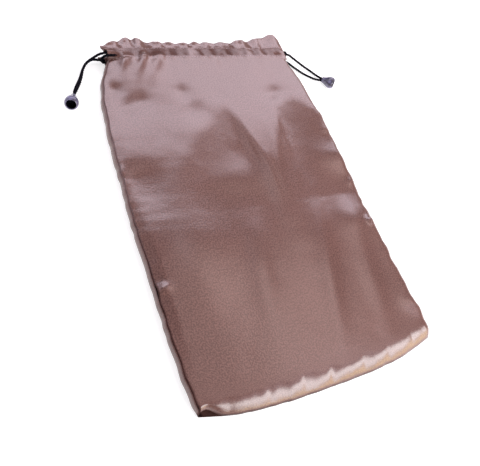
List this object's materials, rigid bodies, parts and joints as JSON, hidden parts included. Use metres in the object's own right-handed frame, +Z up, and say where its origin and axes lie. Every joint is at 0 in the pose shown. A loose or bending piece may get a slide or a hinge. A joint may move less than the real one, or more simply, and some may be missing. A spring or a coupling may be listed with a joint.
{
  "type": "drawstring travel pouch",
  "caption": "Soft satin drawstring pouch for travel, lying flat, with a gathered frilled mouth, dark drawcords and bell-shaped cord ends.",
  "frame": {"origin": "middle of the pouch's own outline, on the surface that it lies on, without the cords and cord ends", "axes": "+X across the pouch, +Y from the bottom fold to the mouth, +Z up out of the front"},
  "size_m": [0.3064, 0.3682, 0.018],
  "materials": {
    "satin": "dusty rose-brown polyester satin with a soft sheen",
    "cord": "near-black braided cord",
    "bell": "smoky grey-lilac moulded plastic, glossy"
  },
  "bodies": {
    "root": {"front_panel": "satin", "back_panel": "satin", "front_casing": "satin", "back_casing": "satin", "drawcord_left": "cord", "drawcord_right": "cord", "cord_end_left": "bell", "cord_end_right": "bell"}
  },
  "joints": []
}
